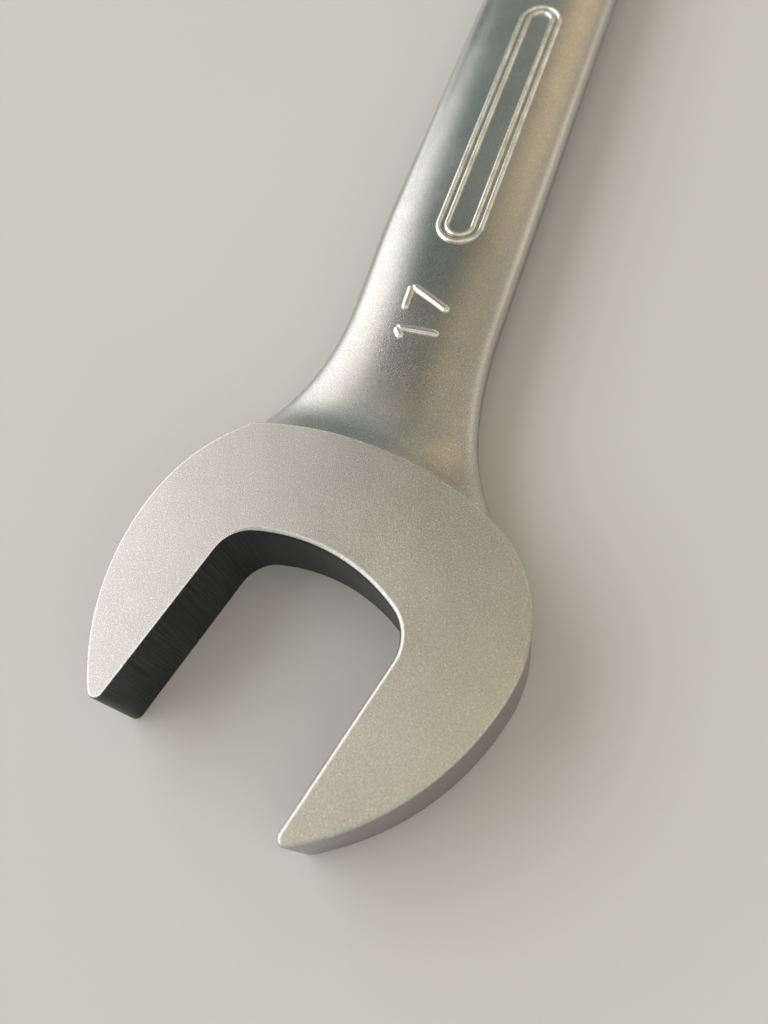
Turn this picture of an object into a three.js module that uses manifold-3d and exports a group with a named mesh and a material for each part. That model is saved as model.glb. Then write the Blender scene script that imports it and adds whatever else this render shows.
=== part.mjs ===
// Reversible ratcheting combination wrench, size 17.
// Millimetres. +X runs along the shank from the open jaw to the ratchet ring, +Z is up.
// The mid-plane of the forging is z = 0 while the pieces are made, and the whole tool is moved at the
// end so that its origin lies under the middle of its bounding box.
import * as THREE from "three";
import { mergeVertices } from "three/addons/utils/BufferGeometryUtils.js";
import Module from "manifold-3d";

const wasm = await Module();
wasm.setup();

const DEG = Math.PI / 180;

// ---- driving dimensions ----------------------------------------------------------------------
const OVERALL_LENGTH = 226;
const ACROSS_FLATS = 17.1; // a 17 mm fastener plus the usual clearance

// Open jaw. Its own frame has +u from the mouth to the throat and +v across, with the throat at u = 0.
const JAW = {
  angle: 15 * DEG, // between the jaw's axis and the shank
  offset: -1.31, // the jaw frame's origin lies this far off the shank's centre line
  thickness: 7.8,
  throat: { u: -15.93, v: -0.27, r: 15.93 }, // the arc at the back of the opening
  cornerLeft: 3.2, // fillets between the throat and the flats
  cornerRight: 3.7,
  tipRadius: 0.7,
  // Each cheek is two arcs that meet where the head is widest.
  left: { u: -3.16, v: 16.46, front: 21.31, back: 15.15 },
  right: { u: -2.14, v: 17.02, front: 22.82, back: 11.47 },
  neckArc: { u: -20.0, v: -0.98, r: 29.85 }, // edge of the flat face towards the shank
};
const EDGE_BEVEL = 0.35;
const CHORD_ERROR = 0.02; // arcs in outlines are this true

// Shank. Its sides flare into the open head along Bezier curves of x and half width.
const SHANK = {
  halfWidth: 7.27,
  halfThickness: 2.87,
  squareness: 2.5, // exponent of the oval section, 2 would be an ellipse
  bossSquareness: 14.5, // the section is nearly a box where it meets the ring's boss
  bossBlend: 16, // length over which the section changes
  leftFlare: [[7.5, 11.9], [10.9, 11.15], [13.45, 7.05], [23.2, 6.75]],
  rightFlare: [[4.85, 13.3], [8.95, 11.45], [10.9, 7.6], [24.7, 7.27]],
  leftFullWidthX: 37,
  openShoulderX: 9.7, // where the shank's top has risen to just under the open head's face
  openShoulderRadius: 8.2,
  startX: 5.3,
};

// Ratchet ring. Its own frame has the gear's axis at x = 0, and the shank towards -x.
const RING = {
  outerRadius: 16.5,
  halfThickness: 5.2,
  boreRadius: 12.75,
  lipRadius: 11.35,
  lipTop: -3.85,
  grooveRadius: 13.5,
  grooveBottom: 3.65,
  grooveTop: 4.55,
  bossX: -28, // the boss's straight flanks end here, at this half width
  bossHalfWidth: 10.4,
  faceRadius: 30.5, // edge of the flat face towards the shank
  shoulderRadius: 14,
  flareX: -56.2, // where the boss has narrowed to the shank's width
};
const RING_X = OVERALL_LENGTH + openTipX() - RING.outerRadius; // the gear's axis

const GEAR = {
  teeth: 72,
  tipRadius: 12.6,
  rootRadius: 11.9,
  hubRadius: 11.25,
  halfHeight: 5,
  teethBottom: -3.7,
  teethTop: 3.3,
  tipShare: 0.24, // of the tooth's pitch, the flat tip
  gapShare: 0.24, // of the tooth's pitch, the flat root
  leadInRadius: 10.5, // the chamfer that guides a fastener in, at the hub's faces
  leadInNarrow: 9.1,
  leadInDepth: 0.6,
};
const FIT = 0.1; // running clearance
const RETAINING_RING = { hubClearance: 0.25, mouth: 16 * DEG, facing: 60 * DEG };

const PAWL = {
  pivotX: -16.2,
  swing: 6 * DEG, // each way from its middle position
  faceRadius: 12.8, // tooth tips in the middle position, about the gear's axis
  halfAngle: 35 * DEG,
  bottom: -3.5,
  top: 1.85,
  holeRadius: 1.6,
};
const PIN = { radius: 1.5, bottom: -5, top: 4.2 };
const CHAMBER = { bottom: -3.7, roof: 2.6, stemRadius: 4.6 };

const LEVER = {
  axisX: -23.3,
  swing: 20 * DEG, // each way from its middle position
  stemRadius: 3.2,
  journalRadius: 2,
  stemBottom: -3.5,
  journalBottom: -5,
  discRadius: 5.4,
  discBottom: 4.5,
  tabLength: 14,
  tabNeckX: -6.5, // the thumb tab is narrowest here, at this half width
  tabNeckHalfWidth: 3.2,
  tabEndHalfWidth: 4,
  tabEndRadius: 1.8,
  tabBottom: 5.6,
  tabTop: 7.1,
  ribs: [-8.6, -10.2, -11.8],
  ribSize: 0.7,
  recessRadius: 5.6,
  recessFloor: 4.35,
};
const SEAL = { z: 3.45, groove: 0.4, grooveRadius: 2.45, ringRadius: 2.86, wireRadius: 0.33 };
const CLIP = { bottom: 2.05, top: 2.5, innerRadius: 2.6, outerRadius: 4.3, mouth: 70 * DEG };

const PLUNGER = {
  z: -0.6,
  radius: 1.05,
  noseRadius: 1.05,
  back: 1.2, // distance of its open end from the stem's axis
  tip: 4.35, // distance of its nose from the stem's axis
  boreRadius: 0.75,
  boreEnd: 2.9,
};
const SPRING = { coilRadius: 0.5, wireRadius: 0.15, start: -1.75, end: 2.7, turns: 6 };

const COVER = {
  bottom: -5.15,
  top: -3.75,
  frontX: -13.75,
  halfWidth: 10.3,
  shoulderX: -22.4,
  rearRadius: 5.2,
  cornerRadius: 1.6,
  screwX: -20.7,
  screwY: 7.9,
};
const SCREW = {
  headRadius: 2,
  shankRadius: 1.15,
  headDepth: 0.95,
  bottom: -5.05,
  top: -0.4,
  socketRadius: 0.8,
  socketDepth: 1,
};

// ---- materials -------------------------------------------------------------------------------
const steel = (color, roughness) =>
  new THREE.MeshStandardMaterial({ color, roughness, metalness: 1 });
const SATIN_CHROME = steel(0xb9bab6, 0.38);
const GEAR_STEEL = steel(0xa9aaac, 0.3);
const SPRING_STEEL = steel(0x6b6d70, 0.35);
const PLATED_STEEL = steel(0xc4c5c6, 0.25);
const BLACK_OXIDE = steel(0x2b2c2e, 0.45);
const RUBBER = new THREE.MeshStandardMaterial({ color: 0x1b1b1b, roughness: 0.8, metalness: 0 });

// ---- solids ----------------------------------------------------------------------------------
function solid(geometry) {
  const bare = geometry.index ? geometry.toNonIndexed() : geometry.clone();
  bare.deleteAttribute("normal");
  bare.deleteAttribute("uv");
  const merged = mergeVertices(bare, 1e-4);
  return new wasm.Manifold(
    new wasm.Mesh({
      numProp: 3,
      vertProperties: new Float32Array(merged.attributes.position.array),
      triVerts: new Uint32Array(merged.index.array),
    }),
  );
}

function piece(name, made, material, x = 0, turn = 0, pivotX = 0) {
  const { numProp, vertProperties, triVerts } = made.getMesh();
  const points = new Float32Array((vertProperties.length / numProp) * 3);
  for (let i = 0; i < points.length / 3; i++) {
    points.set(vertProperties.subarray(i * numProp, i * numProp + 3), i * 3);
  }
  const geometry = new THREE.BufferGeometry();
  geometry.setAttribute("position", new THREE.BufferAttribute(points, 3));
  geometry.setIndex(new THREE.BufferAttribute(triVerts, 1));
  geometry.translate(-pivotX, 0, 0);
  geometry.computeVertexNormals();
  const mesh = new THREE.Mesh(geometry, material);
  mesh.name = name;
  mesh.position.x = x + pivotX;
  mesh.rotation.z = turn;
  return mesh;
}

const joined = (...parts) => parts.reduce((a, b) => a.add(b));
const cut = (from, ...cutters) => cutters.reduce((a, b) => a.subtract(b), from);

function cylinder(radius, bottom, top, x = 0, y = 0, sides = 36) {
  const g = new THREE.CylinderGeometry(radius, radius, top - bottom, sides);
  g.rotateX(Math.PI / 2);
  g.translate(x, y, (bottom + top) / 2);
  return solid(g);
}

function cone(lowRadius, highRadius, bottom, top, x = 0, y = 0, sides = 36) {
  const g = new THREE.CylinderGeometry(highRadius, lowRadius, top - bottom, sides);
  g.rotateX(Math.PI / 2);
  g.translate(x, y, (bottom + top) / 2);
  return solid(g);
}

// A prism over an outline, with its edges bevelled inwards when bevel is given.
function prism(outline, bottom, top, bevel = 0) {
  const g = new THREE.ExtrudeGeometry(new THREE.Shape(outline), {
    depth: top - bottom - 2 * bevel,
    bevelEnabled: bevel > 0,
    bevelThickness: bevel,
    bevelSize: bevel,
    bevelOffset: -bevel,
    bevelSegments: 1,
  });
  g.translate(0, 0, bottom + bevel);
  return solid(g);
}

// Points along an arc from angle a to angle b, which runs anticlockwise when b > a.
function arc(cx, cy, r, a, b) {
  const step = 2 * Math.acos(1 - Math.min(CHORD_ERROR / r, 0.1));
  const count = Math.max(2, Math.ceil(Math.abs(b - a) / step));
  return Array.from({ length: count + 1 }, (_, i) => {
    const angle = a + ((b - a) * i) / count;
    return new THREE.Vector2(cx + r * Math.cos(angle), cy + r * Math.sin(angle));
  });
}

// An outline without points that repeat.
function outlineOf(points) {
  return points.filter((p, i) => p.distanceTo(points[(i + 1) % points.length]) > 1e-3);
}

// ---- open head -------------------------------------------------------------------------------
// Half of a cheek, for v > 0, from the neck round to the mouth and back to the throat.
function cheek(side, cornerRadius, throat, neckArc) {
  const backV = side.v - side.back;
  const frontV = side.v - side.front;
  // The neck arc meets the cheek's back arc.
  const [nu, nv, nr] = [neckArc.u, neckArc.v, neckArc.r];
  const gap = Math.hypot(nu - side.u, nv - backV);
  const bearing = Math.PI + Math.atan2(backV - nv, side.u - nu);
  const opening = Math.acos((side.back ** 2 + gap ** 2 - nr ** 2) / (2 * side.back * gap));
  const meet = bearing - opening;
  const neckU = side.u + side.back * Math.cos(meet);
  const neckV = backV + side.back * Math.sin(meet);
  // The tip's rounding touches the front arc and the flat.
  const flatV = ACROSS_FLATS / 2;
  const tipV = flatV + JAW.tipRadius;
  const tipReach = side.front - JAW.tipRadius;
  const tipU = side.u - Math.sqrt(tipReach ** 2 - (tipV - frontV) ** 2);
  const tipAngle = Math.atan2(tipV - frontV, tipU - side.u);
  // The corner's rounding touches the flat and the throat arc.
  const cornerV = flatV - cornerRadius;
  const cornerReach = throat.r - cornerRadius;
  const cornerU = throat.u + Math.sqrt(cornerReach ** 2 - (cornerV - throat.v) ** 2);
  const cornerAngle = Math.atan2(cornerV - throat.v, cornerU - throat.u);
  return {
    neckAngle: Math.atan2(neckV - nv, neckU - nu),
    throatAngle: cornerAngle,
    points: [
      ...arc(side.u, backV, side.back, meet, Math.PI / 2),
      ...arc(side.u, frontV, side.front, Math.PI / 2, tipAngle),
      ...arc(tipU, tipV, JAW.tipRadius, tipAngle, 1.5 * Math.PI),
      ...arc(cornerU, cornerV, cornerRadius, Math.PI / 2, cornerAngle),
    ],
  };
}

function mirrored(circle) {
  return { ...circle, v: -circle.v };
}

function openHeadOutline() {
  const left = cheek(JAW.left, JAW.cornerLeft, JAW.throat, JAW.neckArc);
  const right = cheek(JAW.right, JAW.cornerRight, mirrored(JAW.throat), mirrored(JAW.neckArc));
  const throat = arc(JAW.throat.u, JAW.throat.v, JAW.throat.r, left.throatAngle, -right.throatAngle);
  const neck = arc(JAW.neckArc.u, JAW.neckArc.v, JAW.neckArc.r, -right.neckAngle, left.neckAngle);
  const rightPoints = right.points.map((p) => new THREE.Vector2(p.x, -p.y)).reverse();
  const jawFrame = outlineOf([...left.points, ...throat, ...rightPoints, ...neck]);
  const centre = new THREE.Vector2();
  return jawFrame.map((p) => p.rotateAround(centre, -JAW.angle).add(new THREE.Vector2(0, JAW.offset)));
}

// The x of the foremost jaw tip: the overall length is measured from it.
function openTipX() {
  return Math.min(...openHeadOutline().map((p) => p.x));
}

// ---- shank -----------------------------------------------------------------------------------
function bezier(points) {
  return new THREE.CubicBezierCurve(...points.map(([x, y]) => new THREE.Vector2(x, y)));
}

// Half width at x along a flare that runs in x from its first point to its last.
function flareWidth(curve, x) {
  let low = 0;
  let high = 1;
  for (let i = 0; i < 30; i++) {
    const middle = (low + high) / 2;
    if (curve.getPoint(middle).x < x) low = middle;
    else high = middle;
  }
  return curve.getPoint(low).y;
}

const leftFlare = bezier(SHANK.leftFlare);
const rightFlare = bezier(SHANK.rightFlare);
const smooth = THREE.MathUtils.smoothstep;

// The ring end's half width, on both sides: straight flanks, then a long curve to the shank.
const FLANK_END = new THREE.Vector2(RING.bossX, RING.bossHalfWidth);
const FLANK_ANGLE =
  Math.atan2(RING.bossHalfWidth, RING.bossX) - Math.acos(RING.outerRadius / FLANK_END.length());
const FLANK_START = new THREE.Vector2(
  RING.outerRadius * Math.cos(FLANK_ANGLE),
  RING.outerRadius * Math.sin(FLANK_ANGLE),
);
function ringSideWidth(x) {
  const reach = Math.max(0, x - RING_X - RING.flareX) / (RING.bossX - RING.flareX);
  return SHANK.halfWidth + (RING.bossHalfWidth - SHANK.halfWidth) * Math.min(reach, 1) ** 2;
}

function leftHalfWidth(x) {
  if (x < leftFlare.v3.x) return flareWidth(leftFlare, x);
  const narrower = SHANK.halfWidth - leftFlare.v3.y; // the left side is slimmer just behind the neck
  return ringSideWidth(x) - narrower * (1 - smooth(x, leftFlare.v3.x, SHANK.leftFullWidthX));
}

function rightHalfWidth(x) {
  return x < rightFlare.v3.x ? flareWidth(rightFlare, x) : ringSideWidth(x);
}

// Height of a round shoulder of the given radius, at a distance from its foot.
function shoulderRise(distance, radius) {
  const d = THREE.MathUtils.clamp(distance, 0, radius);
  return radius - Math.sqrt(radius ** 2 - d ** 2);
}

function halfThickness(x) {
  const openDrop = JAW.thickness / 2 - SHANK.halfThickness;
  const openFoot = SHANK.openShoulderX + Math.sqrt(2 * SHANK.openShoulderRadius * openDrop - openDrop ** 2);
  const open = shoulderRise(openFoot - x, SHANK.openShoulderRadius);
  const ringDrop = RING.halfThickness - SHANK.halfThickness;
  const ringEdge = RING_X - RING.faceRadius;
  const ringFoot = ringEdge - Math.sqrt(2 * RING.shoulderRadius * ringDrop - ringDrop ** 2);
  const ring = shoulderRise(x - ringFoot, RING.shoulderRadius);
  const hidden = 0.2; // the loft stays this far inside the heads' flat faces
  return SHANK.halfThickness + Math.min(open, openDrop - hidden) + Math.min(ring, ringDrop - hidden);
}

function squareness(x) {
  const bossEdge = RING_X - RING.faceRadius;
  const share = smooth(x, bossEdge - SHANK.bossBlend, bossEdge) ** 2;
  return SHANK.squareness + (SHANK.bossSquareness - SHANK.squareness) * share;
}

// A closed oval loft: a unit cylinder whose rings are moved to the sections along x.
function shankSolid() {
  const endX = RING_X - 20; // well inside the ring's boss
  // Sections are close together where the shape changes: start, end and spacing of each stretch.
  const stretches = [
    [SHANK.startX, 15, 1],
    [15, SHANK.leftFullWidthX, 3],
    [SHANK.leftFullWidthX, RING_X - 56, 16],
    [RING_X - 56, RING_X - 40, 4],
    [RING_X - 40, endX, 1.5],
  ];
  const stations = stretches.flatMap(([start, end, spacing]) =>
    Array.from({ length: Math.ceil((end - start) / spacing) }, (_, i) => start + i * spacing),
  );
  stations.push(endX);
  const around = 28;
  const g = new THREE.CylinderGeometry(1, 1, 1, around, stations.length - 1);
  const p = g.attributes.position;
  const onAxis = 1e-6; // sines this small are meant as 0
  const rounded = (c, n) => (Math.abs(c) < onAxis ? 0 : Math.sign(c) * Math.abs(c) ** (2 / n));
  for (let i = 0; i < p.count; i++) {
    const x = stations[Math.round((0.5 - p.getY(i)) * (stations.length - 1))];
    const across = rounded(p.getX(i), squareness(x));
    const up = rounded(p.getZ(i), squareness(x));
    p.setXYZ(
      i,
      x,
      across * (across > 0 ? leftHalfWidth(x) : rightHalfWidth(x)),
      up * halfThickness(x),
    );
  }
  return solid(g);
}

// ---- ring head -------------------------------------------------------------------------------
function ringHeadOutline() {
  // The flank line meets the face's edge arc.
  const slope = (FLANK_START.y - FLANK_END.y) / (FLANK_START.x - FLANK_END.x);
  let edgeX = FLANK_END.x;
  for (let i = 0; i < 20; i++) {
    const y = FLANK_END.y + slope * (edgeX - FLANK_END.x);
    edgeX = -Math.sqrt(RING.faceRadius ** 2 - y ** 2);
  }
  const edgeAngle = Math.atan2(FLANK_END.y + slope * (edgeX - FLANK_END.x), edgeX);
  return outlineOf([
    ...arc(0, 0, RING.outerRadius, -FLANK_ANGLE, FLANK_ANGLE),
    ...arc(0, 0, RING.faceRadius, edgeAngle, 2 * Math.PI - edgeAngle),
  ]);
}

// The pawl chamber's outline: room for the pawl's two arms, narrowing to the lever's stem.
function chamberOutline() {
  const half = [
    [-9, 8.9],
    [-15.3, 8.9],
    [-18.2, 5.6],
    [LEVER.axisX, CHAMBER.stemRadius - 1],
  ].map(([x, y]) => new THREE.Vector2(x, y));
  const other = half.map((p) => new THREE.Vector2(p.x, -p.y)).reverse();
  return [...half, ...other];
}

// The cover plate's outline, grown by a margin for its recess.
function coverOutline(margin) {
  const r = COVER.cornerRadius;
  const x = COVER.frontX + margin - r;
  const y = COVER.halfWidth + margin - r;
  const rear = COVER.rearRadius + margin;
  // The slanted side runs from a rounded shoulder to the round rear end, which is on the lever's axis.
  const shoulder = new THREE.Vector2(COVER.shoulderX, y);
  const toRear = shoulder.clone().sub(new THREE.Vector2(LEVER.axisX, 0));
  const tangent = toRear.angle() + Math.acos((rear - r) / toRear.length());
  const half = [
    ...arc(x, y, r, 0, Math.PI / 2),
    ...arc(shoulder.x, shoulder.y, r, Math.PI / 2, tangent),
    ...arc(LEVER.axisX, 0, rear, tangent, Math.PI),
  ];
  const other = half.map((p) => new THREE.Vector2(p.x, -p.y)).reverse();
  return outlineOf([...half, ...other]);
}

function wrenchBody() {
  const high = RING.halfThickness + 1;
  const openHead = prism(openHeadOutline(), -JAW.thickness / 2, JAW.thickness / 2, EDGE_BEVEL);
  const ringHead = prism(ringHeadOutline(), -RING.halfThickness, RING.halfThickness, EDGE_BEVEL)
    .translate([RING_X, 0, 0]);
  const outside = joined(openHead, shankSolid(), ringHead);
  const screwHoles = [1, -1].map((side) =>
    cylinder(SCREW.shankRadius + FIT, -high, SCREW.top + 0.4, COVER.screwX, side * COVER.screwY, 24),
  );
  const cutters = joined(
    cylinder(RING.boreRadius, RING.lipTop, high, 0, 0, 48),
    cylinder(RING.lipRadius, -high, 0, 0, 0, 48),
    cylinder(RING.grooveRadius, RING.grooveBottom, RING.grooveTop, 0, 0, 48),
    prism(chamberOutline(), CHAMBER.bottom, CHAMBER.roof),
    cylinder(CHAMBER.stemRadius, CHAMBER.bottom, CHAMBER.roof, LEVER.axisX, 0),
    prism(coverOutline(FIT), -high, CHAMBER.bottom),
    cylinder(PIN.radius + FIT, 0, PIN.top + FIT, PAWL.pivotX, 0, 24),
    cylinder(LEVER.stemRadius + FIT, 0, high, LEVER.axisX, 0),
    cylinder(LEVER.recessRadius, LEVER.recessFloor, high, LEVER.axisX, 0),
    ...screwHoles,
  );
  return outside.subtract(cutters.translate([RING_X, 0, 0]));
}

// ---- ratchet gear ----------------------------------------------------------------------------
// Teeth as four points each. grow thickens them all round, to make the shape the pawl must clear.
function gearOutline(grow) {
  const pitch = (2 * Math.PI) / GEAR.teeth;
  const spread = grow / GEAR.tipRadius;
  const tip = (GEAR.tipShare / 2) * pitch + spread;
  const widest = 0.49 * pitch; // the roots of thickened teeth still don't meet
  const root = Math.min(((1 - GEAR.gapShare) / 2) * pitch + spread, widest);
  const points = [];
  for (let i = 0; i < GEAR.teeth; i++) {
    const middle = i * pitch;
    for (const [r, a] of [
      [GEAR.rootRadius + grow, middle - root],
      [GEAR.tipRadius + grow, middle - tip],
      [GEAR.tipRadius + grow, middle + tip],
      [GEAR.rootRadius + grow, middle + root],
    ]) {
      points.push(new THREE.Vector2(r * Math.cos(a), r * Math.sin(a)));
    }
  }
  return points;
}

// Two hexagons turned 30 degrees: the opening that takes a hexagon in twelve positions.
function twelvePointOutline() {
  const inner = ACROSS_FLATS / 2 / Math.cos(15 * DEG);
  const outer = ACROSS_FLATS / 2 / Math.cos(30 * DEG);
  return Array.from({ length: 24 }, (_, i) => {
    const r = i % 2 ? inner : outer;
    return new THREE.Vector2(r * Math.cos(i * 15 * DEG), r * Math.sin(i * 15 * DEG));
  });
}

function ratchetGear() {
  const { halfHeight, leadInDepth, leadInRadius, leadInNarrow } = GEAR;
  return cut(
    joined(
      prism(gearOutline(0), GEAR.teethBottom, GEAR.teethTop),
      cylinder(GEAR.hubRadius, -halfHeight, halfHeight, 0, 0, 48),
    ),
    prism(twelvePointOutline(), -halfHeight - 1, halfHeight + 1),
    cone(leadInNarrow, leadInRadius, halfHeight - leadInDepth, halfHeight + 0.001, 0, 0, 48),
    cone(leadInRadius, leadInNarrow, -halfHeight - 0.001, -halfHeight + leadInDepth, 0, 0, 48),
  );
}

function splitRing(inner, outer, mouth, facing) {
  const from = facing + mouth / 2;
  const to = facing + 2 * Math.PI - mouth / 2;
  return [...arc(0, 0, outer, from, to), ...arc(0, 0, inner, to, from)];
}

function gearRetainingRing() {
  const { hubClearance, mouth, facing } = RETAINING_RING;
  const outline = splitRing(GEAR.hubRadius + hubClearance, RING.grooveRadius - FIT, mouth, facing);
  return prism(outline, RING.grooveBottom + FIT, RING.grooveTop - FIT);
}

// ---- pawl and pin ----------------------------------------------------------------------------
// A solid turned about a vertical axis at x.
function turned(made, angle, x = 0) {
  return made.translate([-x, 0, 0]).rotate([0, 0, angle / DEG]).translate([x, 0, 0]);
}

// The pawl in its middle position. Its teeth are what the gear leaves of it at each end of its swing,
// and the groove in its back is what the plunger's nose sweeps.
function pawl() {
  const half = [
    ...arc(0, 0, PAWL.faceRadius, Math.PI, Math.PI - PAWL.halfAngle),
    new THREE.Vector2(-11.5, 8.1),
    new THREE.Vector2(-14.2, 8.1),
    new THREE.Vector2(-17.4, 4.4),
    new THREE.Vector2(-19.6, 3),
    new THREE.Vector2(-19.9, 2.4),
    new THREE.Vector2(-19.9, 0),
  ];
  const other = half.slice(1, -1).map((p) => new THREE.Vector2(p.x, -p.y)).reverse();
  let made = prism([...half, ...other].reverse(), PAWL.bottom, PAWL.top);
  const gear = prism(gearOutline(FIT), PAWL.bottom - 1, PAWL.top + 1);
  const nose = cylinder(PLUNGER.noseRadius + 0.15, PAWL.bottom - 1, PAWL.top + 1, 0, 0, 24);
  const noseReach = PLUNGER.tip - PLUNGER.noseRadius;
  const meshingShare = 0.5; // the teeth meet the gear in the outer half of each swing
  for (const share of [-1, -0.85, -0.7, -0.5, -0.25, 0, 0.25, 0.5, 0.7, 0.85, 1]) {
    const undo = share * PAWL.swing; // the pawl turns against the lever, so its cutters turn with it
    const lever = share * LEVER.swing;
    const noseX = LEVER.axisX + noseReach * Math.cos(lever);
    const noseAt = nose.translate([noseX, noseReach * Math.sin(lever), 0]);
    made = cut(made, turned(noseAt, undo, PAWL.pivotX));
    if (Math.abs(share) >= meshingShare) made = cut(made, turned(gear, undo, PAWL.pivotX));
  }
  return cut(made, cylinder(PAWL.holeRadius, PAWL.bottom - 1, PAWL.top + 1, PAWL.pivotX, 0, 24));
}

function pawlPivotPin() {
  return cylinder(PIN.radius, PIN.bottom, PIN.top, PAWL.pivotX, 0, 24);
}

// ---- reversing lever, seal and clip ----------------------------------------------------------
// The lever in its middle position, with its axis at x = 0 and its thumb tab towards -x.
function reversingLever() {
  const stem = joined(
    cylinder(LEVER.stemRadius, LEVER.stemBottom, LEVER.discBottom + 0.1),
    cylinder(LEVER.journalRadius, LEVER.journalBottom, LEVER.stemBottom + 0.1, 0, 0, 32),
    cylinder(LEVER.discRadius, LEVER.discBottom, LEVER.tabBottom + 0.1),
  );
  // The thumb tab grows out of the disc, narrows to a neck and widens to a round-cornered end.
  const end = LEVER.tabEndRadius;
  const discEdge = 140 * DEG;
  const tabOutline = [
    ...arc(0, 0, LEVER.discRadius, -discEdge, discEdge),
    new THREE.Vector2(LEVER.tabNeckX, LEVER.tabNeckHalfWidth),
    ...arc(-LEVER.tabLength + end, LEVER.tabEndHalfWidth - end, end, Math.PI / 2, Math.PI),
    ...arc(-LEVER.tabLength + end, -LEVER.tabEndHalfWidth + end, end, Math.PI, 1.5 * Math.PI),
    new THREE.Vector2(LEVER.tabNeckX, -LEVER.tabNeckHalfWidth),
  ];
  const tab = prism(tabOutline, LEVER.tabBottom, LEVER.tabTop, 0.3);
  const ribs = LEVER.ribs.map((x) => {
    const g = new THREE.BoxGeometry(LEVER.ribSize, 2 * LEVER.tabNeckHalfWidth - 0.6, LEVER.ribSize);
    g.translate(x, 0, LEVER.tabTop);
    return solid(g);
  });
  const bore = new THREE.CylinderGeometry(PLUNGER.radius + FIT, PLUNGER.radius + FIT, 7, 24);
  bore.rotateZ(Math.PI / 2);
  bore.translate(SPRING.start - FIT + 3.5, 0, PLUNGER.z);
  const sealGroove = cut(
    cylinder(LEVER.stemRadius + 1, SEAL.z - SEAL.groove, SEAL.z + SEAL.groove),
    cylinder(SEAL.grooveRadius, 0, LEVER.discBottom),
  );
  const clipGroove = cut(
    cylinder(LEVER.stemRadius + 1, CLIP.bottom - FIT, CLIP.top + FIT),
    cylinder(CLIP.innerRadius - FIT, 0, LEVER.discBottom),
  );
  return cut(joined(stem, tab, ...ribs), solid(bore), sealGroove, clipGroove);
}

function leverSeal() {
  const g = new THREE.TorusGeometry(SEAL.ringRadius, SEAL.wireRadius, 8, 24);
  g.translate(0, 0, SEAL.z);
  return solid(g);
}

function leverRetainingClip() {
  const outline = splitRing(CLIP.innerRadius, CLIP.outerRadius, CLIP.mouth, Math.PI);
  return prism(outline, CLIP.bottom, CLIP.top);
}

// ---- plunger and spring ----------------------------------------------------------------------
// Turned about the lever's +x, with a round nose and a blind bore for the spring.
function detentPlunger() {
  const nose = PLUNGER.tip - PLUNGER.noseRadius;
  const profile = [
    new THREE.Vector2(0, PLUNGER.boreEnd),
    new THREE.Vector2(PLUNGER.boreRadius, PLUNGER.boreEnd),
    new THREE.Vector2(PLUNGER.boreRadius, PLUNGER.back),
    new THREE.Vector2(PLUNGER.radius, PLUNGER.back),
    ...arc(0, nose, PLUNGER.noseRadius, 0, Math.PI / 2 - 0.2),
    new THREE.Vector2(0, PLUNGER.tip),
  ];
  const g = new THREE.LatheGeometry(profile, 24);
  g.rotateZ(-Math.PI / 2);
  g.translate(0, 0, PLUNGER.z);
  return solid(g);
}

class Helix extends THREE.Curve {
  getPoint(t, target = new THREE.Vector3()) {
    const angle = t * SPRING.turns * 2 * Math.PI;
    const along = SPRING.wireRadius + t * (SPRING.end - SPRING.start - 2 * SPRING.wireRadius);
    return target.set(
      SPRING.start + along,
      SPRING.coilRadius * Math.cos(angle),
      PLUNGER.z + SPRING.coilRadius * Math.sin(angle),
    );
  }
}

function detentSpring() {
  const wire = new THREE.Shape(arc(0, 0, SPRING.wireRadius, 0, 2 * Math.PI).slice(1));
  const g = new THREE.ExtrudeGeometry(wire, {
    steps: SPRING.turns * 8,
    bevelEnabled: false,
    extrudePath: new Helix(),
  });
  return solid(g);
}

// ---- cover plate and screws ------------------------------------------------------------------
function coverPlate() {
  const low = COVER.bottom - 1;
  const high = COVER.top + 1;
  const { headDepth, headRadius, shankRadius, bottom } = SCREW;
  const holes = [1, -1].flatMap((side) => {
    const y = side * COVER.screwY;
    const wide = headRadius + FIT + (bottom - COVER.bottom);
    return [
      cylinder(shankRadius + FIT, low, high, COVER.screwX, y, 24),
      cone(wide, shankRadius + FIT, COVER.bottom, bottom + headDepth, COVER.screwX, y, 24),
    ];
  });
  return cut(
    prism(coverOutline(0), COVER.bottom, COVER.top),
    cylinder(PIN.radius + FIT, low, high, PAWL.pivotX, 0, 24),
    cylinder(LEVER.journalRadius + FIT, low, high, LEVER.axisX, 0, 32),
    ...holes,
  );
}

function coverScrew() {
  const { headDepth, headRadius, shankRadius, bottom, top } = SCREW;
  const profile = [
    new THREE.Vector2(0, bottom),
    new THREE.Vector2(headRadius, bottom),
    new THREE.Vector2(shankRadius, bottom + headDepth),
    new THREE.Vector2(shankRadius, top - 0.3),
    new THREE.Vector2(shankRadius - 0.3, top),
    new THREE.Vector2(0, top),
  ];
  const g = new THREE.LatheGeometry(profile, 24);
  g.rotateX(Math.PI / 2);
  const socket = cylinder(SCREW.socketRadius, bottom - 1, bottom + SCREW.socketDepth, 0, 0, 6);
  return cut(solid(g), socket);
}

// ---- assembly --------------------------------------------------------------------------------
// The tool rests with the lever swung to one stop, so the pawl's near end is in mesh.
const restTurn = -LEVER.swing;
const pawlTurn = PAWL.swing;

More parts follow.
